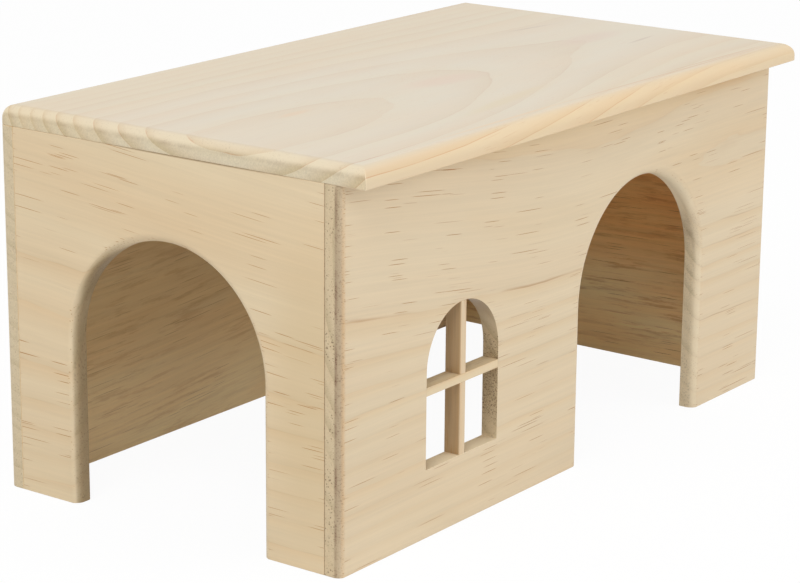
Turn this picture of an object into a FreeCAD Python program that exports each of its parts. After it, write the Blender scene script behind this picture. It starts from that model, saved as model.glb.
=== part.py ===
import FreeCAD, Part
import os

from FreeCAD import Vector

# Wooden hamster house: four upright boards and a flat roof board, glued and
# dowelled. The house has no floor and stands on the lower edges of its walls.
# All lengths are in millimetres. X runs along the front, Y to the back, Z up.
# The origin is on the ground, under the middle of the roof.

# Body
house_length = 280.0            # front and back walls, and the roof
body_depth = 150.0              # outer face of the front wall to that of the back wall
wall_height = 133.0
wall_thickness = 6.5
wall_corner_radius = 3.0        # rounding of the four upright outer corners

# Roof
roof_thickness = 7.0
roof_overhang = 10.0            # past the front wall; flush at the back and both ends
roof_edge_radius = 4.8          # rounding of the roof's upper edges

# Doorways, both round-headed and rounded along the outer edge
front_door_width = 84.0
front_door_height = 102.0
front_door_right_leg = 52.0     # front wall left standing right of the doorway
end_door_width = 84.0
end_door_height = 102.0
door_edge_radius = 3.5

# Window, round-headed, with a cross of two bars
window_width = 42.5
window_height = 55.5
window_sill_height = 24.8
window_left_pier = 47.75        # front wall left of the window
bar_width = 3.0

# Hidden dowels
dowel_diameter = 3.0
dowel_edge_depth = 11.0         # length of dowel in a board's edge
dowel_cover = 2.2               # wood left over the end of a hole in a board's face
dowel_chamfer = 0.4
dowel_clearance = 0.1           # glue space round a dowel
dowel_end_gap = 0.3             # glue space at each end of a dowel
corner_dowel_count = 3
corner_dowel_margin = 25.0      # lowest and highest corner dowel, from the wall's ends
long_roof_dowel_count = 4
long_roof_dowel_margin = 35.0   # outermost roof dowel, from the ends of the house
end_roof_dowel_count = 2
end_roof_dowel_margin = 45.0    # outermost roof dowel, from the front and back faces

cut_margin = 5.0                # how far a cutting tool passes the faces it cuts
pick_tolerance = 0.01           # for finding edges by their place

# Places that follow from the sizes
right_x = house_length / 2
left_x = -right_x
back_y = (body_depth + roof_overhang) / 2
front_y = back_y - body_depth
front_inner_y = front_y + wall_thickness
back_inner_y = back_y - wall_thickness
middle_y = (front_y + back_y) / 2
front_door_x = right_x - front_door_right_leg - front_door_width / 2
window_x = left_x + window_left_pier + window_width / 2
bar_crossing_z = window_sill_height + window_height / 2

EAST = Vector(1, 0, 0)
NORTH = Vector(0, 1, 0)
UP = Vector(0, 0, 1)
DOWN = -UP


def block(low, high):
    """A rectangular solid between two opposite corners."""
    size = high - low
    return Part.makeBox(size.x, size.y, size.z, low)


def edges_between(solid, low, high):
    """The edges of a solid that lie inside a box, faces of the box included."""
    region = FreeCAD.BoundBox(low, high)
    region.enlarge(pick_tolerance)
    return [edge for edge in solid.Edges if region.isInside(edge.BoundBox)]


def round_headed_solid(foot, across, width, height, through):
    """A tool with upright sides and a half-round head, pushed along `through`.

    `foot` is the middle of its lower edge and `across` is the unit vector along
    that edge. `height` is measured to the crown of the head.
    """
    half = across * (width / 2)
    rise = UP * (height - width / 2)
    left_foot = foot - half
    right_foot = foot + half
    left_spring = left_foot + rise
    right_spring = right_foot + rise
    crown = foot + UP * height
    outline = [
        Part.LineSegment(left_foot, left_spring),
        Part.Arc(left_spring, crown, right_spring),
        Part.LineSegment(right_spring, right_foot),
        Part.LineSegment(right_foot, left_foot),
    ]
    wire = Part.Wire([curve.toShape() for curve in outline])
    return Part.Face(wire).extrude(through)


def doorway_tool(outer_face_foot, across, inwards, width, height):
    """The cutter of a doorway, which passes the ground and both faces of its wall."""
    foot = outer_face_foot + DOWN * cut_margin - inwards * cut_margin
    through = inwards * (wall_thickness + 2 * cut_margin)
    return round_headed_solid(foot, across, width, height + cut_margin, through)


def window_tool(margin):
    """The window's opening, longer by `margin` at each face of the front wall."""
    foot = Vector(window_x, front_y - margin, window_sill_height)
    through = NORTH * (wall_thickness + 2 * margin)
    return round_headed_solid(foot, EAST, window_width, window_height, through)


def evenly_spaced(first, last, count):
    """`count` values from first to last."""
    step = (last - first) / (count - 1)
    return [first + step * index for index in range(count)]


def corner_joint(x_side, inner_y, towards_end_wall):
    """The dowelled joint of one upright corner.

    A joint is a list of points, a direction and a thickness. The points lie
    where the face of one board meets the edge of the other, one for each dowel.
    The direction runs from there into the edge, and the thickness is that of
    the board whose face is drilled.
    """
    x = x_side * (right_x - wall_thickness / 2)
    top = wall_height - corner_dowel_margin
    heights = evenly_spaced(corner_dowel_margin, top, corner_dowel_count)
    return [Vector(x, inner_y, z) for z in heights], towards_end_wall, wall_thickness


def long_roof_joint(y):
    """The dowelled joint between the roof and the front or back wall."""
    first = left_x + long_roof_dowel_margin
    last = right_x - long_roof_dowel_margin
    places = evenly_spaced(first, last, long_roof_dowel_count)
    return [Vector(x, y, wall_height) for x in places], DOWN, roof_thickness


def end_roof_joint(x_side):
    """The dowelled joint between the roof and an end wall."""
    x = x_side * (right_x - wall_thickness / 2)
    first = front_y + end_roof_dowel_margin
    last = back_y - end_roof_dowel_margin
    places = evenly_spaced(first, last, end_roof_dowel_count)
    return [Vector(x, y, wall_height) for y in places], DOWN, roof_thickness


def dowels(joint):
    """The dowels of a joint, each with both ends chamfered."""
    points, direction, drilled_thickness = joint
    face_depth = drilled_thickness - dowel_cover - dowel_end_gap
    solids = []
    for point in points:
        start = point - direction * face_depth
        rod = Part.makeCylinder(dowel_diameter / 2, face_depth + dowel_edge_depth, start, direction)
        rims = [edge for edge in rod.Edges if edge.isClosed()]
        solids.append(rod.makeChamfer(dowel_chamfer, rims))
    return Part.makeCompound(solids)


def dowel_holes(joint):
    """The blind holes that the dowels of a joint sit in."""
    points, direction, drilled_thickness = joint
    radius = dowel_diameter / 2 + dowel_clearance
    face_depth = drilled_thickness - dowel_cover
    length = face_depth + dowel_edge_depth + dowel_end_gap
    starts = [point - direction * face_depth for point in points]
    return [Part.makeCylinder(radius, length, start, direction) for start in starts]


def drilled(board):
    """The board with every dowel hole that reaches it."""
    holes = [hole for joint in dowel_joints.values() for hole in dowel_holes(joint)]
    return board.cut(Part.makeCompound(holes))


def long_wall(outer_y, inner_y):
    """A plain front or back board with its two upright outer edges rounded."""
    low = Vector(left_x, min(outer_y, inner_y), 0)
    high = Vector(right_x, max(outer_y, inner_y), wall_height)
    board = block(low, high)
    left_edge = edges_between(board, Vector(left_x, outer_y, 0), Vector(left_x, outer_y, wall_height))
    right_edge = edges_between(board, Vector(right_x, outer_y, 0), Vector(right_x, outer_y, wall_height))
    return board.makeFillet(wall_corner_radius, left_edge + right_edge)


def end_wall(outer_x, inner_x):
    """A plain end board, which stands between the front and back walls."""
    low = Vector(min(outer_x, inner_x), front_inner_y, 0)
    high = Vector(max(outer_x, inner_x), back_inner_y, wall_height)
    return block(low, high)


def make_front_wall():
    """The front board with its doorway, at the right, and its window, at the left."""
    board = long_wall(front_y, front_inner_y)
    door_foot = Vector(front_door_x, front_y, 0)
    board = board.cut(doorway_tool(door_foot, EAST, NORTH, front_door_width, front_door_height))
    half = EAST * (front_door_width / 2)
    rim = edges_between(board, door_foot - half, door_foot + half + UP * front_door_height)
    board = board.makeFillet(door_edge_radius, rim)
    return drilled(board.cut(window_tool(cut_margin)))


def make_back_wall():
    """The back board, which is plain."""
    return drilled(long_wall(back_y, back_inner_y))


def make_left_end_wall():
    """The left end board with its doorway in the middle."""
    board = end_wall(left_x, left_x + wall_thickness)
    door_foot = Vector(left_x, middle_y, 0)
    board = board.cut(doorway_tool(door_foot, NORTH, EAST, end_door_width, end_door_height))
    half = NORTH * (end_door_width / 2)
    rim = edges_between(board, door_foot - half, door_foot + half + UP * end_door_height)
    return drilled(board.makeFillet(door_edge_radius, rim))


def make_right_end_wall():
    """The right end board, which is plain."""
    return drilled(end_wall(right_x, right_x - wall_thickness))


def make_roof_board():
    """The roof board, rounded along its upper edges and at its two back corners."""
    top_z = wall_height + roof_thickness
    low = Vector(left_x, front_y - roof_overhang, wall_height)
    high = Vector(right_x, back_y, top_z)
    board = block(low, high)
    upper_edges = edges_between(board, Vector(low.x, low.y, top_z), high)
    board = board.makeFillet(roof_edge_radius, upper_edges)
    outline = block(low, high)
    back_corners = []
    for x in (left_x, right_x):
        back_corners += edges_between(outline, Vector(x, back_y, wall_height), Vector(x, back_y, top_z))
    outline = outline.makeFillet(wall_corner_radius, back_corners)
    return drilled(board.common(outline))


def crossing_half(y_low, y_high):
    """Half the depth of the square where the two window bars cross."""
    half = bar_width / 2
    low = Vector(window_x - half, y_low, bar_crossing_z - half)
    high = Vector(window_x + half, y_high, bar_crossing_z + half)
    return block(low, high)


def make_window_bar_horizontal():
    """The level window bar, halved at its back over the upright bar."""
    half = EAST * (window_width / 2)
    low = Vector(window_x, front_y, bar_crossing_z - bar_width / 2) - half
    high = Vector(window_x, front_inner_y, bar_crossing_z + bar_width / 2) + half
    bar = block(low, high).common(window_tool(0))
    return bar.cut(crossing_half(front_y + wall_thickness / 2, front_inner_y))


def make_window_bar_vertical():
    """The upright window bar, halved at its front and cut round at its top."""
    top_z = window_sill_height + window_height
    low = Vector(window_x - bar_width / 2, front_y, window_sill_height)
    high = Vector(window_x + bar_width / 2, front_inner_y, top_z)
    bar = block(low, high).common(window_tool(0))
    return bar.cut(crossing_half(front_y, front_y + wall_thickness / 2))


dowel_joints = {
    "front_left_corner_dowels": corner_joint(-1, front_inner_y, NORTH),
    "front_right_corner_dowels": corner_joint(1, front_inner_y, NORTH),
    "back_left_corner_dowels": corner_joint(-1, back_inner_y, -NORTH),
    "back_right_corner_dowels": corner_joint(1, back_inner_y, -NORTH),
    "front_roof_dowels": long_roof_joint(front_y + wall_thickness / 2),
    "back_roof_dowels": long_roof_joint(back_y - wall_thickness / 2),
    "left_roof_dowels": end_roof_joint(-1),
    "right_roof_dowels": end_roof_joint(1),
}

nodes = {
    "front_wall": make_front_wall(),
    "back_wall": make_back_wall(),
    "left_end_wall": make_left_end_wall(),
    "right_end_wall": make_right_end_wall(),
    "roof_board": make_roof_board(),
    "window_bar_horizontal": make_window_bar_horizontal(),
    "window_bar_vertical": make_window_bar_vertical(),
}
nodes.update({name: dowels(joint) for name, joint in dowel_joints.items()})

os.makedirs("parts", exist_ok=True)
for name, shape in nodes.items():
    shape.exportStep("parts/" + name + ".step")
    print(name, "solids", len(shape.Solids), "mm3", round(shape.Volume), "valid", shape.isValid())
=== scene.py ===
import math
from dataclasses import dataclass
from typing import NamedTuple

import bmesh
import bpy
from mathutils import Matrix, Vector


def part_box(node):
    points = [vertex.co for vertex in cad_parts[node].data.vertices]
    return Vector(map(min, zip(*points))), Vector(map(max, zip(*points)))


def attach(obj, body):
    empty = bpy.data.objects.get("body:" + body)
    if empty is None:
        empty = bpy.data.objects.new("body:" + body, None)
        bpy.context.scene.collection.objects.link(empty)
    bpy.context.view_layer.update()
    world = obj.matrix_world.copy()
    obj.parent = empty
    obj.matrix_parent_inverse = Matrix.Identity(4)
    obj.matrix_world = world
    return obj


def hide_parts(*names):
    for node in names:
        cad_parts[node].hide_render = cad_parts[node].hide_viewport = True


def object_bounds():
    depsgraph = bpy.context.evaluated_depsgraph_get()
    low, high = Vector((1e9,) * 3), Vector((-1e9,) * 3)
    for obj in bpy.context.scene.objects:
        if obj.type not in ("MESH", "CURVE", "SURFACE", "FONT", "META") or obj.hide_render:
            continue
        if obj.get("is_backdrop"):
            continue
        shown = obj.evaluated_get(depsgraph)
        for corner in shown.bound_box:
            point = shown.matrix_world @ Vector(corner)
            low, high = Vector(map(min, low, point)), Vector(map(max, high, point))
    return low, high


# The looks of the wooden hamster house: soft-edged pine boards over the CAD
# frame. Shapes and wood figure are worked out in millimetres, in the frame's
# own axes: X runs along the front, Y to the back and Z up.

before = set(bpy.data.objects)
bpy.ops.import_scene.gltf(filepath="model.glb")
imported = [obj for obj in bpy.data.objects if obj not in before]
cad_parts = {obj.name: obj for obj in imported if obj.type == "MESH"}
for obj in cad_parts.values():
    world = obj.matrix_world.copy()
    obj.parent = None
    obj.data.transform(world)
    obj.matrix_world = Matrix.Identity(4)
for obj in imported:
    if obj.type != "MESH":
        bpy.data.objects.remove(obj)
cad_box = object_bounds()

MM = 0.001                      # a millimetre in Blender's metres

# Sizes that the boxes of the CAD nodes don't give
WALL_CORNER_RADIUS = 3.0
ROOF_EDGE_RADIUS = 4.8
DOOR_WIDTH = 84.0
DOOR_HEIGHT = 102.0
DOOR_EDGE_RADIUS = 3.5
FRONT_DOOR_RIGHT_LEG = 52.0
ARRIS = 0.30                    # softening of a board's sawn edges
BAR_ARRIS = 0.12                # the same on the window and its bars

# How finely curves are cut
ARCH_STEPS = 64
ROUND_STEPS = 8                 # of a large rounding
ARRIS_STEPS = 3                 # of a small one
LARGE_ROUNDING = 1.0
SHARP_TURN = math.radians(30)   # a larger turn of an outline is a corner
TINY = 1e-4                     # a smaller difference is a rounding error

EAST = Vector((1, 0, 0))
NORTH = Vector((0, 1, 0))
UP = Vector((0, 0, 1))


def node_box(name):
    """The lowest and highest corner of a CAD node, in millimetres."""
    low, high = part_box(name)
    return low / MM, high / MM


roof_low, roof_high = node_box("roof_board")
front_low, front_high = node_box("front_wall")
back_low, back_high = node_box("back_wall")
level_bar_low, level_bar_high = node_box("window_bar_horizontal")
upright_bar_low, upright_bar_high = node_box("window_bar_vertical")

left_x, front_y, ground_z = front_low
right_x, front_inner_y, wall_top_z = front_high
back_inner_y = back_low.y
back_y = back_high.y
wall_thickness = front_inner_y - front_y
middle_y = (front_y + back_y) / 2
front_door_x = right_x - FRONT_DOOR_RIGHT_LEG - DOOR_WIDTH / 2
end_door_front_y = middle_y - DOOR_WIDTH / 2
end_door_back_y = middle_y + DOOR_WIDTH / 2
window_x = (upright_bar_low.x + upright_bar_high.x) / 2
window_right_x = level_bar_high.x
bar_middle_y = (upright_bar_low.y + upright_bar_high.y) / 2


# Shapes


class Corner(NamedTuple):
    """A corner of an outline, and how the edge that starts there is rounded."""

    u: float
    v: float
    rounding: float             # between the edge's side and the outer face
    bend: float = ARRIS         # of the corner itself
    arris: float = ARRIS        # between the edge's side and the inner face


@dataclass
class Place:
    """Where an outline lies in the house, and which way is into the wood."""

    origin: Vector
    across: Vector
    up: Vector
    inwards: Vector

    def point(self, flat, depth):
        place = self.origin + self.across * flat.x + self.up * flat.y + self.inwards * depth
        return place * MM


def set_back(radius, depth):
    """How far a rounded edge stands back at some depth below the face."""
    if depth >= radius:
        return 0.0
    return radius - math.sqrt(radius ** 2 - (radius - depth) ** 2)


def round_steps(radius):
    """How many steps a rounding of this radius is cut into."""
    return ROUND_STEPS if radius > LARGE_ROUNDING else ARRIS_STEPS


def quarter_depths(radius):
    """The depths that cut a quarter circle of this radius into equal turns."""
    steps = round_steps(radius)
    return [radius * (1 - math.cos(math.pi / 2 * step / steps)) for step in range(steps + 1)]


def cut_depths(corners, thickness):
    """Every depth at which a board's section is worked out."""
    depths = set()
    for corner in corners:
        depths.update(quarter_depths(corner.rounding))
        depths.update(thickness - depth for depth in quarter_depths(corner.arris))
    return sorted(depths)


def turned_left(direction):
    """The direction a quarter turn to the left, which is into the wood."""
    return Vector((-direction.y, direction.x))


def mitre(before, after, before_distance, after_distance):
    """How a corner moves when the edges before and after it move into the wood."""
    normal_before = turned_left(before)
    normal_after = turned_left(after)
    spread = normal_before.cross(normal_after)
    if abs(spread) < TINY:
        return normal_before * before_distance
    return Vector((
        before_distance * normal_after.y - after_distance * normal_before.y,
        after_distance * normal_before.x - before_distance * normal_after.x,
    )) / spread


def bent(point, before, after, radius, steps):
    """A corner drawn as an arc that touches the edges before and after it."""
    turn = before.angle_signed(after)
    inside = (after - before).normalized()
    centre = point + inside * radius / math.cos(turn / 2)
    start = point - before * radius * math.tan(abs(turn) / 2)
    arm = start - centre
    return [centre + Matrix.Rotation(-turn * step / steps, 2) @ arm for step in range(steps + 1)]


def section(corners, thickness, depth):
    """The outline of a board at some depth below its outer face."""
    points = []
    for index, corner in enumerate(corners):
        previous = corners[index - 1]
        following = corners[(index + 1) % len(corners)]
        here = Vector((corner.u, corner.v))
        before = (here - Vector((previous.u, previous.v))).normalized()
        after = (Vector((following.u, following.v)) - here).normalized()
        inner = set_back(corner.arris, thickness - depth)
        before_distance = set_back(previous.rounding, depth) + inner
        after_distance = set_back(corner.rounding, depth) + inner
        moved = here + mitre(before, after, before_distance, after_distance)
        if before.angle(after) < SHARP_TURN:
            points.append(moved)
            continue
        radius = max(corner.bend - max(before_distance, after_distance), corner.arris)
        points += bent(moved, before, after, radius, round_steps(corner.bend))
    return points


def run(loop, start, end):
    """The part of a closed loop from one index to another, both included."""
    if end < start:
        end += len(loop)
    return [loop[index % len(loop)] for index in range(start, end + 1)]


def on_line(points, u):
    """The lower and upper of the two points of a loop that lie on a line."""
    found = [index for index, point in enumerate(points) if abs(point.x - u) < TINY]
    return sorted(found, key=lambda index: points[index].y)


def face_loops(ends):
    """The faces that close a board: one, or two that meet above and below its hole."""
    points, loop = ends[0]
    if len(ends) == 1:
        return [loop]
    hole_points, hole_loop = ends[1]
    foot, top = on_line(points, window_x)
    sill, crown = on_line(hole_points, window_x)
    return [
        run(loop, foot, top) + run(hole_loop, crown, sill),
        run(loop, top, foot) + run(hole_loop, sill, crown),
    ]


def add_sides(mesh, corners, thickness, depths, place):
    """The sides of a board round one outline, and its first and last section."""
    sections = [section(corners, thickness, depth) for depth in depths]
    loops = [[mesh.verts.new(place.point(point, depth)) for point in points]
             for points, depth in zip(sections, depths)]
    for outer, inner in zip(loops, loops[1:]):
        for index in range(len(outer)):
            mesh.faces.new((outer[index - 1], inner[index - 1], inner[index], outer[index]))
    return (sections[0], loops[0]), (sections[-1], loops[-1])


def add_piece(name, node, corners, thickness, place, material, hole=None):
    """A board made from its outline, which stands in for its CAD node."""
    mesh = bmesh.new()
    outlines = [corners, hole] if hole else [corners]
    depths = cut_depths(sum(outlines, []), thickness)
    ends = [add_sides(mesh, outline, thickness, depths, place) for outline in outlines]
    for face in face_loops([outer for outer, _ in ends]):
        mesh.faces.new(face)
    for face in face_loops([inner for _, inner in ends]):
        mesh.faces.new(reversed(face))
    data = bpy.data.meshes.new(name)
    mesh.to_mesh(data)
    mesh.free()
    data.shade_smooth()
    data.materials.append(material)
    piece = bpy.data.objects.new(name, data)
    bpy.context.scene.collection.objects.link(piece)
    piece.modifiers.new("flat_faces", "WEIGHTED_NORMAL")
    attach(piece, "root")
    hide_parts(node)
    return piece


def arch(middle, spring, radius, rounding):
    """The corners of a half-round head, from its left spring over to its right."""
    corners = []
    for step in range(ARCH_STEPS + 1):
        angle = math.pi * (1 - step / ARCH_STEPS)
        u = middle + radius * math.cos(angle)
        v = spring + radius * math.sin(angle)
        corners.append(Corner(u, v, rounding))
    return corners


def doorway(middle):
    """A doorway's edge, from its left foot over its head to its right foot."""
    radius = DOOR_WIDTH / 2
    head = arch(middle, DOOR_HEIGHT - radius, radius, DOOR_EDGE_RADIUS)
    left_foot = Corner(middle - radius, ground_z, DOOR_EDGE_RADIUS)
    right_foot = Corner(middle + radius, ground_z, ARRIS)
    return [left_foot] + head + [right_foot]


def wall_outline(left, right, upright_rounding, door=(), stops=()):
    """A wall seen from outside. `stops` are extra points on its long edges."""
    feet = [Corner(stop, ground_z, ARRIS) for stop in stops]
    heads = [Corner(stop, wall_top_z, ARRIS) for stop in reversed(stops)]
    return (
        [Corner(left, ground_z, ARRIS)] + feet + list(door)
        + [Corner(right, ground_z, upright_rounding), Corner(right, wall_top_z, ARRIS)]
        + heads + [Corner(left, wall_top_z, upright_rounding)]
    )


def window_outline():
    """The window's edge, which runs clockwise because the wood is outside it."""
    radius = (level_bar_high.x - level_bar_low.x) / 2
    sill = upright_bar_low.z
    head = arch(window_x, upright_bar_high.z - radius, radius, BAR_ARRIS)
    foot = [Corner(window_x + side * radius, sill, BAR_ARRIS) for side in (1, 0, -1)]
    return [corner._replace(bend=BAR_ARRIS, arris=BAR_ARRIS) for corner in head + foot]


def rectangle(low_u, low_v, high_u, high_v, rounding, back_bend=ARRIS):
    """Four corners, of which the two at high v may have a wider bend."""
    return [
        Corner(low_u, low_v, rounding),
        Corner(high_u, low_v, rounding),
        Corner(high_u, high_v, rounding, back_bend),
        Corner(low_u, high_v, rounding, back_bend),
    ]


def notched_bar(low_u, low_v, high_u, high_v, notch_low_v, notch_high_v, notch_u):
    """A bar that runs along v, cut away beyond `notch_u` where the other bar crosses."""
    places = [
        (low_u, low_v),
        (high_u, low_v),
        (high_u, notch_low_v),
        (notch_u, notch_low_v),
        (notch_u, notch_high_v),
        (high_u, notch_high_v),
        (high_u, high_v),
        (low_u, high_v),
    ]
    return [Corner(u, v, BAR_ARRIS, BAR_ARRIS, BAR_ARRIS) for u, v in places]


# Materials


# How squarely a surface faces through the board, or along the grain, from where it
# begins to look like a wide face, or like end grain, to where it does so in full
WIDE_FACING = (0.75, 1.0)
END_FACING = (0.68, 0.99)

# How squarely a rounded edge faces along the grain where it begins to look pale, torn
# or cut, where it does so in full, where that wanes and where it ends
PALE_FACING = (0.12, 0.5, 0.75, 0.98)
TORN_FACING = (-0.1, 0.6, 0.97, 0.999)
CUT_FACING = (0.84, 0.95, 0.96, 0.998)

# Shapes of the marks. Lengths are in millimetres.
SPOT_CORE = 0.25                # share of a spot that is at full strength
DASH_CORE = 0.65                # the same of a dash
ALIKE_RINGS = 2.2               # neighbouring rings that are of much the same width
RING_LINE_REACH = 0.30          # how far a ring line fades on its inner side
RING_LINE_SHARPNESS = 1.8       # how many times faster it fades on its outer side
CANAL_SHARE = 0.27              # share of the places for resin canals that have one
CANAL_LAYERS = ((54, 0.62, 0.19), (28, 0.56, 0.20))     # length, spacing and reach

# Strengths of what lightens or darkens the wood
FIBRE_SHADE = 0.17
BUNDLE_SHADE = 0.05             # bundles of fibres
CLOUD_SHADE = 0.05
GRIT_SHADE = 0.4                # the cut ends of fibres
PORES_AND_PAINTED_SHADE = 0.32             # many pores close together, and painted shade
END_BRIGHTNESS = 0.98           # of end grain, against the same wood along the grain

# Shares of what covers the wood's own colour on torn edges
RUBBED_SHARE = 0.6
NICK_SHARE = 0.45

# Shares of the relief and of the roughness
FIBRE_RELIEF = 0.4
CANAL_RELIEF = 0.7
FIBRE_ROUGHNESS = 0.08
END_ROUGHNESS = 0.2

# Tints, which multiply a colour
SAPWOOD_TINT = (1.0, 0.97, 0.90)
REDDER_TINT = (1.0, 0.72, 0.50)
STREAK_TINT = (0.50, 0.28, 0.13)
# where pores are close together and where shade is painted
PORE_AND_SHADE_TINT = (1.0, 0.90, 0.74)

# Colours, as they are seen on a screen
PORE_COLOUR = (88, 56, 30)
CLEAN_CUT_COLOUR = (236, 221, 190)
RUBBED_SIDE_COLOUR = (200, 160, 112)
RUBBED_END_COLOUR = (172, 151, 123)
NICK_COLOUR = (112, 78, 52)


def srgb(red, green, blue):
    """A colour as it is seen on a screen, from 0 to 255, in Blender's linear values.

    The numbers are those of the sRGB standard.
    """
    values = []
    for level in (red, green, blue):
        share = level / 255
        linear = share / 12.92 if share <= 0.04045 else ((share + 0.055) / 1.055) ** 2.4
        values.append(linear)
    return (*values, 1.0)


class Field:
    """One output of a node, for use in ordinary arithmetic."""

    def __init__(self, graph, socket):
        self.graph = graph
        self.socket = socket

    def __add__(self, other):
        return self.graph.math("ADD", self, other)

    def __sub__(self, other):
        return self.graph.math("SUBTRACT", self, other)

    def __rsub__(self, other):
        return self.graph.math("SUBTRACT", other, self)

    def __mul__(self, other):
        return self.graph.math("MULTIPLY", self, other)

    def __truediv__(self, other):
        return self.graph.math("DIVIDE", self, other)

    __radd__ = __add__
    __rmul__ = __mul__


class Graph:
    """The nodes of a material or world, made from what is asked of them."""

    def __init__(self, owner):
        owner.use_nodes = True
        self.owner = owner
        self.tree = owner.node_tree
        self.tree.nodes.clear()

    def node(self, kind, inputs=(), **settings):
        """A node with its settings and some of its inputs, by name or number."""
        made = self.tree.nodes.new(kind)
        for name, value in settings.items():
            setattr(made, name, value)
        for key, value in dict(inputs).items():
            if isinstance(value, Field):
                self.tree.links.new(value.socket, made.inputs[key])
            else:
                made.inputs[key].default_value = value
        return made

    def output(self, node, key=0):
        return Field(self, node.outputs[key])

    def constant(self, value):
        node = self.node("ShaderNodeValue")
        node.outputs[0].default_value = value
        return self.output(node)

    def math(self, operation, *values):
        return self.output(self.node("ShaderNodeMath", enumerate(values), operation=operation))

    def vector(self, *values):
        return self.output(self.node("ShaderNodeCombineXYZ", enumerate(values)))

    def split(self, vector):
        node = self.node("ShaderNodeSeparateXYZ", {0: vector})
        return [self.output(node, index) for index in range(3)]

    def place(self):
        """X, Y and Z in millimetres."""
        node = self.node("ShaderNodeTexCoord")
        return [axis / MM for axis in self.split(self.output(node, "Object"))]

    def facing(self):
        """X, Y and Z of the direction that the surface faces."""
        return self.split(self.output(self.node("ShaderNodeTexCoord"), "Normal"))

    def noise(self, vector, detail=2.0, roughness=0.5):
        """Soft random values about 0, from -0.5 to 0.5."""
        inputs = {"Vector": vector, "Scale": 1.0, "Detail": detail, "Roughness": roughness}
        return self.output(self.node("ShaderNodeTexNoise", inputs)) - 0.5

    def dashes(self, vector, reach):
        """Marks about scattered points, from 0 to 1, and a random value for each."""
        node = self.node("ShaderNodeTexVoronoi", {"Vector": vector, "Scale": 1.0})
        mark = self.step(self.output(node, "Distance"), reach * DASH_CORE, reach, 1.0, 0.0)
        return mark, self.split(self.output(node, "Color"))[0]

    def lumps(self, point, length, thickness):
        """A point counted in lumps that are drawn out along the grain."""
        along, across, through = point
        return self.vector(along / length, across / thickness, through / thickness)

    def random(self, value):
        """A random number from 0 to 1 for each whole number."""
        node = self.node("ShaderNodeTexWhiteNoise", {"W": value}, noise_dimensions="1D")
        return self.output(node, "Value")

    def step(self, value, start, end, low=0.0, high=1.0):
        """A smooth change from `low` to `high` while the value goes from start to end."""
        inputs = {"Value": value, 1: start, 2: end, 3: low, 4: high}
        return self.output(self.node("ShaderNodeMapRange", inputs, interpolation_type="SMOOTHSTEP"))

    def band(self, value, start, full, waning, end):
        """A smooth rise from 0 to 1, and a smooth fall back to 0."""
        return self.step(value, start, full) * self.step(value, waning, end, 1.0, 0.0)

    def ramp(self, value, stops):
        """A colour that changes through (position, colour) stops."""
        node = self.node("ShaderNodeValToRGB", {0: value})
        elements = node.color_ramp.elements
        elements[0].position = stops[0][0]
        elements[0].color = srgb(*stops[0][1])
        elements[1].position = stops[-1][0]
        elements[1].color = srgb(*stops[-1][1])
        for position, colour in stops[1:-1]:
            elements.new(position).color = srgb(*colour)
        return self.output(node)

    def mix(self, factor, first, second, blend="MIX"):
        inputs = {0: factor, 6: first, 7: second}
        node = self.node("ShaderNodeMix", inputs, data_type="RGBA", blend_type=blend)
        return self.output(node, 2)

    def painted(self, colour, share, paint):
        """A colour partly covered by another, which is given as on a screen."""
        return self.mix(share, colour, srgb(*paint))

    def tinted(self, colour, share, tint):
        """A colour partly seen through a tint."""
        return self.mix(share, colour, (*tint, 1.0), "MULTIPLY")

    def scaled(self, colour, factor):
        """A colour made lighter or darker."""
        inputs = {0: colour, "Scale": factor}
        return self.output(self.node("ShaderNodeVectorMath", inputs, operation="SCALE"))

    def finish(self, colour, roughness, height, depth, specular):
        """Ends the material in a plain surface with a relief `depth` millimetres deep."""
        bump = self.node("ShaderNodeBump", {"Height": height, "Distance": depth * MM})
        inputs = {
            "Base Color": colour,
            "Roughness": roughness,
            "Specular IOR Level": specular,
            "Normal": self.output(bump),
        }
        surface = self.output(self.node("ShaderNodeBsdfPrincipled", inputs))
        self.node("ShaderNodeOutputMaterial", {"Surface": surface})
        return self.owner


class Spot(NamedTuple):
    """A soft ellipse on a board, in millimetres along and across its grain."""

    along: float
    across: float
    half_along: float
    half_across: float
    strength: float = 1.0
    slope: float = 0.0


# Limits, in millimetres, of a change that begins past every board or ends before it
NOWHERE = (1000, 1001)
EVERYWHERE = (-1000, -900)


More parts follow.
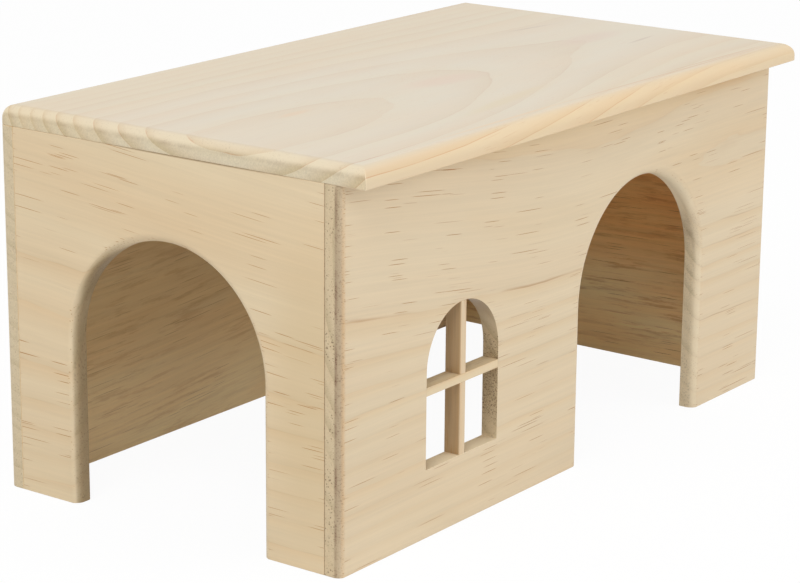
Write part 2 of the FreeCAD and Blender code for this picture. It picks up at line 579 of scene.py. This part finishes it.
@dataclass
class Sawn:
    """How a board was sawn from its log, and its colours. Lengths are in millimetres.

    `axes` names the axes along the grain, across the board and through it. The
    growth rings are circles round the pith, whose (along, across, through)
    points say how the log bends or tapers against the board.
    """

    axes: str
    pith: tuple
    ring_width: float
    ring_start: float           # radius of one of the rings
    plain: tuple                # the wood between the rings
    stops: tuple                # colours outwards through one ring
    seed: float
    tone: float = 0.32          # how much of the rings' colours shows
    line: tuple = (168, 122, 74)
    line_strength: float = 0.16
    line_spots: tuple = ()      # where the ring lines are clear
    wander: float = 1.6
    uneven: float = 0.25        # unlikeness of the ring widths
    narrowing: float = 0.0      # how much closer each next ring is
    contrast: float = 1.0       # of fibres and clouds
    blush: float = 0.07         # how much redder some of the wood is
    wide_face_sheen_tint: tuple = (1.0, 1.0, 1.0)  # of the wide faces against the edges, a painted sheen
    sweep: tuple = EVERYWHERE   # across, where the fibres begin to follow the pith
    dashes: float = 1.0         # strength of the resin canals
    dash_spots: tuple = ()      # where there are more of them
    dash_colour: tuple = (168, 114, 52)
    end_colour: tuple = (186, 172, 144)
    end_share: float = 0.35     # how much of that colour end grain takes
    end_late: tuple = (176, 160, 122)
    end_figure: float = 0.4     # how clearly the rings show in end grain
    edge_tone: float = 0.0      # how much clearer the rings are on the edges
    pores: float = 0.35         # darkness of the pores in end grain
    pore_and_shade_spots: tuple = ()      # where they are darker, and painted shade
    shoulder: float = 0.0       # paleness of rounded-over end grain
    torn: float = 0.12          # roughness of rounded-over end grain
    torn_spots: tuple = ()      # where it is torn
    stains_and_painted_light: tuple = ()          # soft spots of other colours, as (spot, colour): stains, and painted light or shade
    edge_painted_light_and_shade: tuple = ()     # painted light and shade, on the narrow faces only
    outer: tuple = NOWHERE      # radii between which the wood turns to sapwood
    heart: tuple = NOWHERE      # through the board, from sapwood to heartwood
    heart_tint: tuple = (1.0, 0.78, 0.55)
    heart_contrast: float = 0.0     # added to the contrast in heartwood
    heart_blush: float = 0.0    # added to the blush in heartwood
    heart_painted_light: tuple = ()    # painted pools of light, in heartwood only
    mottle: float = 0.0         # strength of short brown streaks in heartwood
    roughness: float = 0.5
    relief: float = 0.025       # depth of the grain


class Grain:
    """The log that a board was sawn from, at each point of the board."""

    def __init__(self, graph, sawn):
        self.graph = graph
        self.sawn = sawn
        axis = dict(zip("xyz", graph.place()))
        face = dict(zip("xyz", graph.facing()))
        self.place, self.across, self.through = (axis[letter] for letter in sawn.axes)
        self.end = graph.math("ABSOLUTE", face[sawn.axes[0]])
        self.wide = graph.step(graph.math("ABSOLUTE", face[sawn.axes[2]]), *WIDE_FACING)
        self.heart = graph.step(self.through, *sawn.heart)
        sweep = graph.step(self.across, *sawn.sweep)
        self.along = self.place + sawn.seed
        self.level = self.across - self.drift(1) * sweep
        self.layer = self.through - self.drift(2)
        self.patch = self.noise(length=38, thickness=10)
        self.ripple = self.noise(length=24, thickness=6)
        self.cloud = self.noise(length=60, thickness=30)
        self.fibre = self.noise(length=60, thickness=1.1, detail=3.0, roughness=0.65)
        self.grit = self.noise(length=1.4, thickness=0.6, roughness=0.7)
        # dark spots: pores close together, and painted shade
        self.dark = self.spots(sawn.pore_and_shade_spots)
        self.torn = self.spots(sawn.torn_spots)
        self.radius = self.find_radius()
        ring = (self.radius - sawn.ring_start) / sawn.ring_width
        beyond = graph.math("MAXIMUM", ring, 0.0)
        ring = ring + beyond * beyond * sawn.narrowing
        self.phase = graph.math("FRACT", ring)
        self.ring_random = graph.random(graph.math("FLOOR", ring) + sawn.seed)

    def drift(self, index):
        """How far the pith has moved along the board, from point to smooth point."""
        moved = self.graph.constant(0.0)
        for start, end in zip(self.sawn.pith, self.sawn.pith[1:]):
            change = end[index] - start[index]
            if change:
                moved = moved + self.graph.step(self.place, start[0], end[0], 0.0, change)
        return moved

    def lumps(self, length, thickness):
        """This point counted in lumps of the log."""
        return self.graph.lumps((self.along, self.level, self.layer), length, thickness)

    def noise(self, length, thickness, detail=2.0, roughness=0.5):
        """Soft random values in lumps drawn out along the grain."""
        return self.graph.noise(self.lumps(length, thickness), detail, roughness)

    def dashes(self, length, spacing, reach):
        """Fine lines along the grain, from 0 to 1, and a random value for each."""
        return self.graph.dashes(self.lumps(length, spacing), reach)

    def find_radius(self):
        """The distance from the pith, along bent and uneven rings."""
        sawn = self.sawn
        side = self.level - sawn.pith[0][1]
        height = self.layer - sawn.pith[0][2]
        radius = self.graph.math("SQRT", side * side + height * height)
        bend = self.noise(length=95, thickness=34)
        radius = radius + (bend * 2 + self.ripple * 0.5) * sawn.wander
        ring = self.graph.vector(radius / (sawn.ring_width * ALIKE_RINGS), sawn.seed, 0.0)
        return radius + self.graph.noise(ring) * sawn.ring_width * sawn.uneven * 2

    def spots(self, spots):
        """The strength of the strongest of some spots."""
        graph = self.graph
        strongest = graph.constant(0.0)
        for spot in spots:
            step_along = self.place - spot.along
            step_across = self.across - spot.across - step_along * spot.slope
            share_along = step_along / spot.half_along
            share_across = step_across / spot.half_across
            distance = graph.math("SQRT", share_along * share_along + share_across * share_across)
            here = graph.step(distance, SPOT_CORE, 1.0, spot.strength, 0.0)
            strongest = graph.math("MAXIMUM", strongest, here)
        return strongest


def with_stain_and_light_spots(grain, colour, stains_and_painted_light, where=1.0):
    """A colour with soft spots of other colours, in some part of the wood: stains, and painted
    light or shade.
    """
    for spot, spot_colour in stains_and_painted_light:
        colour = grain.graph.painted(colour, grain.spots([spot]) * where, spot_colour)
    return colour


def ring_colour(grain):
    """The colours of the growth rings, of sapwood and of heartwood, and painted light on the
    heartwood.
    """
    graph, sawn = grain.graph, grain.sawn
    shown = (1 - grain.wide) * sawn.edge_tone + sawn.tone
    variety = grain.ring_random * 0.8 + grain.patch * 1.6 + 0.6
    ring = graph.ramp(grain.phase, sawn.stops)
    colour = graph.mix(shown * variety, srgb(*sawn.plain), ring)
    colour = graph.tinted(colour, graph.step(grain.radius, *sawn.outer), SAPWOOD_TINT)
    colour = graph.tinted(colour, grain.heart, sawn.heart_tint)
    return with_stain_and_light_spots(grain, colour, sawn.heart_painted_light, grain.heart)


def with_ring_lines(grain, colour):
    """Thin lines where the rings end, broken here and there and clear in some places."""
    graph, sawn = grain.graph, grain.sawn
    outwards = grain.phase * RING_LINE_SHARPNESS
    from_line = graph.math("MINIMUM", outwards, 1 - grain.phase) * sawn.ring_width
    line = graph.step(from_line, 0.0, RING_LINE_REACH, 1.0, 0.0)
    broken = graph.step(grain.patch + grain.ring_random * 0.2 + grain.ripple * 0.5, 0.02, 0.24)
    faint = broken * ((1 - grain.wide) * sawn.edge_tone + sawn.line_strength)
    clear = graph.step(grain.patch, -0.16, 0.16, 0.1, 1.0) * grain.spots(sawn.line_spots)
    share = graph.math("MINIMUM", line * (faint + clear), 1.0)
    return graph.painted(colour, share, sawn.line)


def with_fibres(grain, colour):
    """Fine fibres, soft clouds, redder wood and short brown streaks."""
    graph, sawn = grain.graph, grain.sawn
    bundle = grain.noise(length=130, thickness=2.6, detail=3.0, roughness=0.6)
    shade = grain.fibre * FIBRE_SHADE + bundle * BUNDLE_SHADE + grain.cloud * CLOUD_SHADE
    contrast = grain.heart * sawn.heart_contrast + sawn.contrast
    colour = graph.scaled(colour, shade * contrast + 1.0)
    redder = graph.step(grain.noise(length=90, thickness=16), -0.2, 0.2)
    redder = redder * (grain.heart * sawn.heart_blush + sawn.blush)
    colour = graph.tinted(colour, redder, REDDER_TINT)
    streak = grain.noise(length=22, thickness=2.0, detail=4.0, roughness=0.7)
    streak = graph.step(streak, -0.02, 0.14) * grain.heart
    streak = streak * graph.step(grain.cloud, -0.12, 0.1, 0.35, 1.0)
    return graph.tinted(colour, streak * sawn.mottle, STREAK_TINT)


def canals(grain):
    """Resin canals: fine dashes, more of them in the late wood and in some places."""
    graph, sawn = grain.graph, grain.sawn
    crowd = grain.noise(length=150, thickness=9)
    share = graph.step(grain.phase, 0.3, 1.0) * 0.15 + crowd * 0.6 + grain.spots(sawn.dash_spots)
    dashes = graph.constant(0.0)
    for length, spacing, reach in CANAL_LAYERS:
        dash, random = grain.dashes(length, spacing, reach)
        kept = graph.step(share + CANAL_SHARE - random, -0.03, 0.06)
        dashes = graph.math("MAXIMUM", dashes, dash * kept)
    return dashes * (crowd * 0.8 + 0.7) * sawn.dashes


def open_pores(grain):
    """The open ends of the canals, closer together in some places."""
    graph = grain.graph
    pore, random = grain.dashes(length=30, spacing=0.95, reach=0.36)
    pore = pore * graph.step(grain.patch * 1.4 + 0.4 + grain.dark * 0.5 - random, -0.1, 0.2)
    pit = graph.step(grain.grit + grain.dark * 0.22, 0.16, 0.26) * grain.dark
    return graph.math("MAXIMUM", pore, pit)


def with_end_grain(grain, colour, pore):
    """Duller, gritty wood where the fibres are cut across, darker still in dark spots of close
    pores and painted shade.
    """
    graph, sawn = grain.graph, grain.sawn
    late = graph.step(grain.phase, 0.35, 0.97) * (grain.ring_random * 0.8 + 0.2)
    end_colour = graph.painted(colour, sawn.end_share, sawn.end_colour)
    end_colour = graph.painted(end_colour, late * sawn.end_figure, sawn.end_late)
    # dark spots darken and tint the end grain: pores close together, and painted shade
    shade = grain.grit * GRIT_SHADE - grain.dark * PORES_AND_PAINTED_SHADE
    end_colour = graph.scaled(end_colour, shade + END_BRIGHTNESS)
    end_colour = graph.tinted(end_colour, grain.dark, PORE_AND_SHADE_TINT)
    depth = (grain.dark * 3.0 + 0.6) * sawn.pores
    end_colour = graph.painted(end_colour, pore * depth, PORE_COLOUR)
    # dark spots also spread this look onto rounded edges, as painted shade
    return graph.mix(graph.step(grain.end + grain.dark * 0.33, *END_FACING), colour, end_colour)


def with_clean_edge(grain, colour):
    """Rounded-over end grain, which is pale where it was cut clean."""
    graph, sawn = grain.graph, grain.sawn
    late = graph.step(grain.phase, 0.6, 0.97) * sawn.end_figure
    pale = graph.band(grain.end, *PALE_FACING)
    pale = pale * (sawn.shoulder - late * 0.6) * (1 - grain.torn) * (1 - grain.dark)
    return graph.painted(colour, pale, CLEAN_CUT_COLOUR)


def with_torn_edge(grain, colour):
    """Rounded-over end grain, rubbed and nicked where it tore, and the nicks alone."""
    graph = grain.graph
    torn = grain.torn + grain.sawn.torn
    rounded = graph.band(grain.end, *TORN_FACING)
    side = srgb(*RUBBED_SIDE_COLOUR)
    end = srgb(*RUBBED_END_COLOUR)
    rubbed = graph.mix(graph.step(grain.end, 0.3, 0.75), side, end)
    colour = graph.mix(torn * torn * rounded * RUBBED_SHARE, colour, rubbed)
    cut = graph.band(grain.end, *CUT_FACING)
    cut = cut * graph.step(grain.ripple, -0.15, 0.15, 0.2, 1.0)
    nick = grain.noise(length=1.3, thickness=0.6, detail=3.0, roughness=0.75)
    nick = graph.step(nick + torn * 0.05 + grain.ripple * 0.2, 0.10, 0.18) * torn * rounded
    return graph.painted(colour, (nick + cut * torn) * NICK_SHARE, NICK_COLOUR), nick


def pine(name, sawn):
    """Planed pine: growth rings, resin canals, fibres and end grain."""
    graph = Graph(bpy.data.materials.new(name))
    grain = Grain(graph, sawn)
    canal = canals(grain)
    pore = open_pores(grain)
    colour = ring_colour(grain)
    colour = with_ring_lines(grain, colour)
    colour = with_fibres(grain, colour)
    # a painted sheen: the wide faces cooler
    colour = graph.tinted(colour, grain.wide, sawn.wide_face_sheen_tint)
    # stains, and spots of painted light or shade
    colour = with_stain_and_light_spots(grain, colour, sawn.stains_and_painted_light)
    colour = graph.painted(colour, canal, sawn.dash_colour)
    colour = with_end_grain(grain, colour, pore)
    colour = with_clean_edge(grain, colour)
    colour, nick = with_torn_edge(grain, colour)
    # painted light and shade on the narrow faces
    colour = with_stain_and_light_spots(grain, colour, sawn.edge_painted_light_and_shade, 1 - grain.wide)
    end = graph.step(grain.end, *END_FACING)
    height = grain.fibre * FIBRE_RELIEF - canal * CANAL_RELIEF - pore * end - nick
    roughness = grain.fibre * sawn.contrast * FIBRE_ROUGHNESS + end * END_ROUGHNESS
    return graph.finish(colour, roughness + sawn.roughness, height, sawn.relief, specular=0.5)


# The boards' colours outwards through one ring, as (position, colour), and the roof's stains
ROOF_STOPS = (
    (0.00, (219, 205, 176)),
    (0.30, (219, 205, 179)),
    (0.72, (216, 197, 169)),
    (0.90, (213, 192, 160)),
    (1.00, (211, 188, 155)),
)
ROOF_TOP_STAINS = (             # pinker and yellower patches
    (Spot(-8, -16, 28, 9, 0.5, -0.1), (218, 186, 160)),
    (Spot(98, -11, 28, 9, 0.45), (212, 184, 162)),
    (Spot(-25, -54, 44, 4.5, 0.5, 0.13), (214, 194, 150)),
    (Spot(-88, -10, 12, 3, 0.45), (222, 186, 142)),
    (Spot(102, 20, 17, 1.1, 0.5, -0.15), (186, 164, 138)),
    (Spot(108, -28.5, 14, 1.3, 0.5, 0.08), (186, 160, 134)),
)
ROOF_EDGE_STAINS = (            # orange wood and lines along the front edge
    (Spot(0, -79, 240, 7, 0.4), (240, 208, 160)),
    (Spot(-50, -72, 60, 1.2, 0.3, 0.008), (232, 186, 120)),
    (Spot(40, -72.6, 70, 0.5, 0.6, -0.012), (206, 154, 88)),
    (Spot(80, -73.4, 60, 0.4, 0.6, 0.014), (204, 152, 88)),
    (Spot(92, -71.8, 50, 0.6, 0.6, -0.02), (206, 156, 92)),
    (Spot(110, -74.2, 40, 0.5, 0.5, 0.02), (214, 162, 96)),
)
FRONT_STOPS = (
    (0.00, (212, 178, 130)),
    (0.14, (218, 190, 146)),
    (0.45, (225, 207, 175)),
    (0.78, (221, 203, 172)),
    (1.00, (210, 190, 157)),
)
END_STOPS = (
    (0.00, (212, 178, 132)),
    (0.14, (218, 189, 148)),
    (0.45, (224, 205, 171)),
    (0.80, (221, 199, 164)),
    (1.00, (210, 187, 150)),
)
INNER_STOPS = (
    (0.00, (190, 146, 92)),
    (0.12, (212, 174, 120)),
    (0.45, (230, 202, 156)),
    (0.80, (222, 188, 138)),
    (1.00, (198, 156, 104)),
)


def front_wall_wood():
    """Pale pine, torn along its left end, with a band of painted light under the roof against the
    overhang's shade, an orange-brown patch there that is partly wood and partly painted shade, a
    painted highlight along the window's sill and painted shade in the window's head.
    """
    return pine("front_wall_wood", Sawn(
        axes="xzy",
        pith=((-180, 115, -151), (10, 97, -151), (100, 97, -149.4)),
        ring_width=5.6,
        ring_start=84.5,
        plain=(222, 203, 171),
        stops=FRONT_STOPS,
        seed=310,
        tone=0.24,
        line_strength=0.08,
        line_spots=(
            Spot(-118, 87, 30, 6, 0.5),
            Spot(-20, 76, 50, 7, 0.5),
            Spot(115, 69, 30, 8, 0.4),
            Spot(112, 37, 32, 4, 0.5),
        ),
        sweep=(45, 85),
        dashes=1.3,
        end_colour=(226, 210, 178),
        end_share=0.6,
        # dense pores on the window's right side, partly painted shade towards its head, and along
        # the torn left end
        pore_and_shade_spots=(Spot(window_right_x, 46, 4, 32, 0.7), Spot(left_x, 66, 9, 200, 0.42)),
        shoulder=0.5,
        torn_spots=(Spot(left_x, 66, 9, 130, 1.0), Spot(87, 74, 9, 16, 0.35)),
        # a band of painted light under the roof against the overhang's shade, and an orange-brown
        # patch that is partly wood and partly painted shade
        stains_and_painted_light=(
            (Spot(40, 131, 180, 9, 0.4), (234, 206, 158)),
            (Spot(104, 131, 46, 5, 0.4), (206, 158, 98)),
        ),
        # a painted highlight along the window's sill, and painted shade in the window's head
        edge_painted_light_and_shade=(
            (Spot(window_x, upright_bar_low.z, 30, 2, 0.8), (255, 238, 204)),
            (Spot(window_x + 8, upright_bar_high.z, 26, 22, 0.85), (146, 118, 80)),
        ),
    ))


def roof_board_wood():
    """Flat-sawn pine with orange lines along its front edge, and a painted sheen that makes its top
    cooler.
    """
    return pine("roof_board_wood", Sawn(
        axes="xyz",
        pith=((-110, -22, 197), (110, -10, 215.8)),
        ring_width=8.0,
        ring_start=75.8,
        plain=(224, 203, 170),
        stops=ROOF_STOPS,
        seed=720,
        tone=0.4,
        line=(196, 140, 98),
        line_strength=0.14,
        line_spots=(
            Spot(-115, -73, 36, 5, 0.9),
            Spot(-70, 25, 60, 6, 0.12),
            Spot(-90, 50, 60, 5, 0.12),
        ),
        uneven=0.3,
        narrowing=0.09,
        contrast=0.45,
        blush=0.12,
        # a painted sheen: the wide faces cooler
        wide_face_sheen_tint=(0.95, 0.993, 1.045),
        dashes=0.45,
        dash_spots=(Spot(0, -74, 170, 5, 0.5),),
        dash_colour=(206, 156, 110),
        end_colour=(198, 186, 152),
        end_late=(176, 160, 118),
        end_figure=0.42,
        edge_tone=0.8,
        pores=0.1,
        shoulder=0.6,
        torn=0.3,
        stains_and_painted_light=ROOF_TOP_STAINS + ROOF_EDGE_STAINS,
        outer=(76, 92),
        roughness=0.297,
        relief=0.005,
    ))


def left_end_wall_wood():
    """Straight-grained pine, gritty where the doorway cuts it across, with painted shade in the
    doorway and a line of painted shade in the joint under the roof.
    """
    return pine("left_end_wall_wood", Sawn(
        axes="yzx",
        pith=((-120, 104, -215), (120, 121, -215)),
        ring_width=7.0,
        ring_start=81.0,
        plain=(217, 197, 162),
        stops=END_STOPS,
        seed=150,
        tone=0.3,
        line_spots=(Spot(-45, 81, 22, 5, 0.3),),
        sweep=(40, 80),
        dashes=1.2,
        dash_spots=(Spot(-52, 68, 22, 26, 0.45), Spot(36, 121, 54, 16, 0.32)),
        # end grain darker, partly its own colour and partly painted shade in the doorway
        end_colour=(170, 151, 118),
        end_share=0.6,
        pores=0.15,
        # painted shade on the doorway's sides and on its head's upper left, with close pores
        pore_and_shade_spots=(
            Spot(end_door_back_y, 30, 7, 75, 0.6),
            Spot(end_door_front_y, 30, 7, 75, 0.6),
            Spot(28, 88, 32, 26, 0.9),
        ),
        shoulder=0.4,
        torn_spots=(
            Spot(front_inner_y, 66, 2, 160, 1.0),
            Spot(back_inner_y, 66, 2, 160, 0.6),
        ),
        stains_and_painted_light=(
            (Spot(-58, 60, 24, 70, 0.5), (204, 180, 138)),
            # a thin line of painted shade in the joint under the roof
            (Spot(-8, wall_top_z, 60, 0.6, 0.7), (132, 106, 70)),
        ),
        # painted shade on the upper left of the doorway's head
        edge_painted_light_and_shade=((Spot(36, 86, 24, 24, 0.4), (136, 110, 62)),),
    ))


def back_wall_wood():
    """Plain sapwood outside, and darker, streaky heartwood inside, with painted light low at the
    left of the inside.
    """
    return pine("back_wall_wood", Sawn(
        axes="xzy",
        pith=((-120, 170, 40), (120, 182, 40)),
        ring_width=4.6,
        ring_start=60.0,
        plain=(226, 204, 168),
        stops=INNER_STOPS,
        seed=480,
        tone=0.16,
        uneven=0.6,
        dashes=0.7,
        dash_colour=(126, 72, 34),
        end_colour=(204, 190, 162),
        end_share=0.8,
        shoulder=0.4,
        heart=(back_y - 1.5, back_y - 5.0),
        heart_tint=(1.02, 0.95, 0.74),
        heart_contrast=0.4,
        heart_blush=0.15,
        # a pool of painted light low at the left of the inside
        heart_painted_light=((Spot(-60, 6, 120, 50, 0.5), (250, 232, 186)),),
        mottle=0.32,
    ))


def right_end_wall_wood():
    """Plain sapwood outside, and red-brown heartwood inside, with painted light low on the inside.
    """
    return pine("right_end_wall_wood", Sawn(
        axes="yzx",
        pith=((-60, 175, 100), (75, 172, 100)),
        ring_width=3.9,
        ring_start=50.0,
        plain=(232, 210, 174),
        stops=INNER_STOPS,
        seed=930,
        tone=0.18,
        uneven=0.6,
        dash_colour=(136, 80, 40),
        heart=(right_x - 1.5, right_x - 5.0),
        heart_tint=(1.12, 0.84, 0.50),
        heart_contrast=1.0,
        heart_blush=0.5,
        # a pool of painted light low on the inside
        heart_painted_light=((Spot(10, 4, 110, 58, 0.95), (255, 240, 192)),),
        mottle=0.5,
    ))


def window_bar_horizontal_wood():
    """Pale, close-grained pine."""
    return pine("window_bar_horizontal_wood", Sawn(
        axes="xzy",
        pith=((-110, 90, -95), (0, 92, -95)),
        ring_width=3.0,
        ring_start=20.0,
        plain=(227, 211, 176),
        stops=FRONT_STOPS,
        seed=60,
        wander=0.4,
        blush=0.3,
    ))


def window_bar_vertical_wood():
    """Close-grained pine, brown from just behind its front face."""
    return pine("window_bar_vertical_wood", Sawn(
        axes="zxy",
        pith=((0, -110, -95), (100, -112, -95)),
        ring_width=2.6,
        ring_start=20.0,
        plain=(222, 200, 166),
        stops=FRONT_STOPS,
        seed=90,
        wander=0.4,
        blush=0.2,
        heart=(upright_bar_low.y + 0.1, upright_bar_low.y + 0.8),
        heart_tint=(0.66, 0.57, 0.45),
        heart_contrast=1.5,
    ))


BEECH_STOPS = ((0.25, (190, 150, 108)), (0.75, (214, 178, 138)))
BEECH_FLECK_COLOUR = (140, 96, 60)


def beech(name, axes):
    """Turned beech of the hidden dowels: close, even grain with short flecks."""
    graph = Graph(bpy.data.materials.new(name))
    axis = dict(zip("xyz", graph.place()))
    point = [axis[letter] for letter in axes]
    fibre = graph.noise(graph.lumps(point, length=12, thickness=0.3), detail=3.0, roughness=0.6)
    fleck, random = graph.dashes(graph.lumps(point, length=2.2, thickness=0.5), reach=0.3)
    colour = graph.ramp(fibre + 0.5, BEECH_STOPS)
    flecked = fleck * graph.step(random, 0.4, 0.6) * 0.5
    colour = graph.painted(colour, flecked, BEECH_FLECK_COLOUR)
    return graph.finish(colour, fibre * 0.1 + 0.5, fibre - fleck, depth=0.03, specular=0.35)


# The pieces


def add_front_wall():
    """The front board, with its doorway at the right and its window at the left."""
    outline = wall_outline(left_x, right_x, WALL_CORNER_RADIUS, doorway(front_door_x), [window_x])
    place = Place(Vector((0, front_y, 0)), EAST, UP, NORTH)
    piece = add_piece("front_board", "front_wall", outline, wall_thickness, place,
                      front_wall_wood(), window_outline())


def add_back_wall():
    """The plain back board, seen from behind."""
    outline = wall_outline(-right_x, -left_x, WALL_CORNER_RADIUS)
    place = Place(Vector((0, back_y, 0)), -EAST, UP, -NORTH)
    piece = add_piece("back_board", "back_wall", outline, wall_thickness, place, back_wall_wood())


def add_left_end_wall():
    """The left end board with its doorway, seen from the left."""
    outline = wall_outline(-back_inner_y, -front_inner_y, ARRIS, doorway(-middle_y))
    place = Place(Vector((left_x, 0, 0)), -NORTH, UP, EAST)
    piece = add_piece("left_end_board", "left_end_wall", outline, wall_thickness, place,
                      left_end_wall_wood())


def add_right_end_wall():
    """The plain right end board, seen from the right."""
    outline = wall_outline(front_inner_y, back_inner_y, ARRIS)
    place = Place(Vector((right_x, 0, 0)), NORTH, UP, -EAST)
    piece = add_piece("right_end_board", "right_end_wall", outline, wall_thickness, place,
                      right_end_wall_wood())


def add_roof():
    """The roof board, rounded along its upper edges and at its back corners."""
    outline = rectangle(roof_low.x, roof_low.y, roof_high.x, roof_high.y,
                        ROOF_EDGE_RADIUS, WALL_CORNER_RADIUS)
    place = Place(Vector((0, 0, roof_high.z)), EAST, NORTH, -UP)
    thickness = roof_high.z - roof_low.z
    piece = add_piece("roof_panel", "roof_board", outline, thickness, place, roof_board_wood())


def add_upright_bar():
    """The window's upright bar, seen from the left, with its notch at the front."""
    low, high = upright_bar_low, upright_bar_high
    outline = notched_bar(-high.y, low.z, -low.y, high.z,
                          level_bar_low.z, level_bar_high.z, -bar_middle_y)
    place = Place(Vector((low.x, 0, 0)), -NORTH, UP, EAST)
    piece = add_piece("upright_bar", "window_bar_vertical", outline, high.x - low.x, place,
                      window_bar_vertical_wood())


def add_level_bar():
    """The window's level bar, seen from below, with its notch at the back."""
    low, high = level_bar_low, level_bar_high
    outline = notched_bar(low.y, low.x, high.y, high.x,
                          upright_bar_low.x, upright_bar_high.x, bar_middle_y)
    place = Place(Vector((0, 0, low.z)), NORTH, EAST, UP)
    piece = add_piece("level_bar", "window_bar_horizontal", outline, high.z - low.z, place,
                      window_bar_horizontal_wood())


def dress_dowels():
    """Gives the hidden CAD dowels their wood."""
    upright = beech("dowel_wood_upright", axes="zxy")
    level = beech("dowel_wood_level", axes="yxz")
    for name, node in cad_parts.items():
        if name.endswith("_dowels"):
            wood_of_node = upright if "roof" in name else level
            for material_slot in node.material_slots:
                material_slot.material = wood_of_node


# The studio


WHITE = (1, 1, 1, 1)
FLOOR_HALF = 6.0                # metres
FLOOR_GLOW = 0.95               # share of the floor's white that shadows don't reach
FLOOR_BOUNCE = (0.9, 0.9, 0.9, 1)   # the floor as it lights the object
WORLD_LIGHT = 0.58              # strength of the light from all round
CAMERA_PLACE = Vector((-0.79247, -0.57280, 0.33013))
CAMERA_AZIMUTH = 53.701         # degrees from Y towards X
CAMERA_TILT = 15.693            # degrees below level
CAMERA_ROLL = 0.473             # degrees
LENS = 120.707                  # millimetres
SENSOR_WIDTH = 36.0             # millimetres
LAMP_SIZE = 1.2                 # metres
LAMP_DISTANCE = 2.0             # metres from the origin


def seen_directly(graph):
    """1 for rays from the camera or a mirror, for which white is just white."""
    node = graph.node("ShaderNodeLightPath")
    camera, glossy, through = (graph.output(node, key) for key in (
        "Is Camera Ray", "Is Glossy Ray", "Is Transmission Ray"))
    return graph.math("MAXIMUM", camera, graph.math("MAXIMUM", glossy, through))


def add_floor():
    """A white floor that keeps a soft shadow."""
    graph = Graph(bpy.data.materials.new("floor_white"))
    shade = graph.output(graph.node("ShaderNodeBsdfDiffuse", {"Color": WHITE}))
    plain = graph.output(graph.node("ShaderNodeBsdfDiffuse", {"Color": FLOOR_BOUNCE}))
    glow = graph.output(graph.node("ShaderNodeEmission", {"Strength": 1.0}))
    seen = graph.output(graph.node("ShaderNodeMixShader", {0: FLOOR_GLOW, 1: shade, 2: glow}))
    both = graph.node("ShaderNodeMixShader", {0: seen_directly(graph), 1: plain, 2: seen})
    graph.node("ShaderNodeOutputMaterial", {"Surface": graph.output(both)})
    data = bpy.data.meshes.new("floor")
    half = FLOOR_HALF
    corners = [(-half, -half, 0), (half, -half, 0), (half, half, 0), (-half, half, 0)]
    data.from_pydata(corners, [], [(0, 1, 2, 3)])
    data.materials.append(graph.owner)
    floor = bpy.data.objects.new("floor", data)
    bpy.context.scene.collection.objects.link(floor)
    floor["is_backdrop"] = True


def add_world():
    """Even white light from all round, with plain white behind."""
    world = bpy.data.worlds.new("studio")
    bpy.context.scene.world = world
    graph = Graph(world)
    strength = graph.step(seen_directly(graph), 0.0, 1.0, WORLD_LIGHT, 1.0)
    light = graph.node("ShaderNodeBackground", {"Color": WHITE, "Strength": strength})
    graph.node("ShaderNodeOutputWorld", {"Surface": graph.output(light)})


def add_lamp(name, azimuth, elevation, power):
    """A large soft lamp that faces the house.

    Azimuth is in degrees from X towards Y, elevation in degrees above level,
    and power in watts.
    """
    data = bpy.data.lights.new(name, "AREA")
    data.shape = "DISK"
    data.size = LAMP_SIZE
    data.energy = power
    lamp = bpy.data.objects.new(name, data)
    level = math.cos(math.radians(elevation))
    direction = Vector((
        level * math.cos(math.radians(azimuth)),
        level * math.sin(math.radians(azimuth)),
        math.sin(math.radians(elevation)),
    ))
    lamp.location = direction * LAMP_DISTANCE
    lamp.rotation_euler = (-direction).to_track_quat("-Z", "Y").to_euler()
    bpy.context.scene.collection.objects.link(lamp)


def add_camera():
    """The camera, at the photograph's viewing angle."""
    data = bpy.data.cameras.new("camera")
    data.lens = LENS
    data.sensor_width = SENSOR_WIDTH
    camera = bpy.data.objects.new("camera", data)
    turn = Matrix.Rotation(math.radians(-CAMERA_AZIMUTH), 4, "Z")
    tilt = Matrix.Rotation(math.radians(90 - CAMERA_TILT), 4, "X")
    roll = Matrix.Rotation(math.radians(CAMERA_ROLL), 4, "Z")
    camera.matrix_world = Matrix.Translation(CAMERA_PLACE) @ turn @ tilt @ roll
    bpy.context.scene.collection.objects.link(camera)
    bpy.context.scene.camera = camera


add_camera()
add_front_wall()
add_back_wall()
add_left_end_wall()
add_right_end_wall()
add_roof()
add_upright_bar()
add_level_bar()
dress_dowels()
add_floor()
add_world()
add_lamp("left_lamp", azimuth=194, elevation=50, power=15.6)
add_lamp("front_lamp", azimuth=290, elevation=28, power=9.0)
bpy.context.scene.view_settings.view_transform = "Standard"

[[list(corner) for corner in box] for box in (cad_box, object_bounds())]
